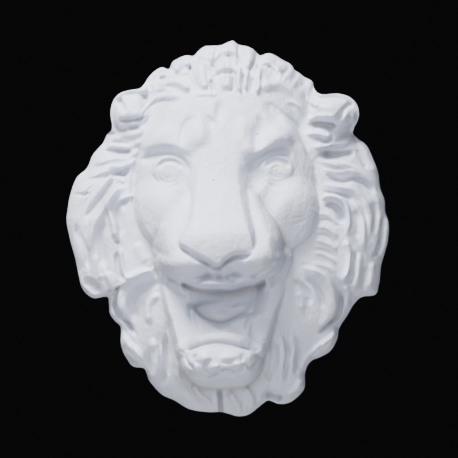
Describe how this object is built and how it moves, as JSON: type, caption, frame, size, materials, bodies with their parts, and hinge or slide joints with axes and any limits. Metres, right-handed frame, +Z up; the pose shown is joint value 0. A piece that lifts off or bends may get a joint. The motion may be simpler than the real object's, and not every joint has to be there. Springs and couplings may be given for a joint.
{
  "type": "lion mask relief",
  "caption": "Wall relief of a roaring lion's head in high relief: mane of carved locks around a face with open jaws, cast as one block with a flat back.",
  "frame": {"origin": "on the flat back where it lies against the wall, level with the bridge of the nose and on the mask's middle line", "axes": "+Z up, -Y out of the wall towards the viewer, +X to the viewer's right"},
  "size_m": [0.3824, 0.1908, 0.4449],
  "materials": {
    "plaster": "matte off-white plaster with a worn coat of limewash"
  },
  "bodies": {
    "root": {"lion_mask": "plaster"}
  },
  "joints": []
}
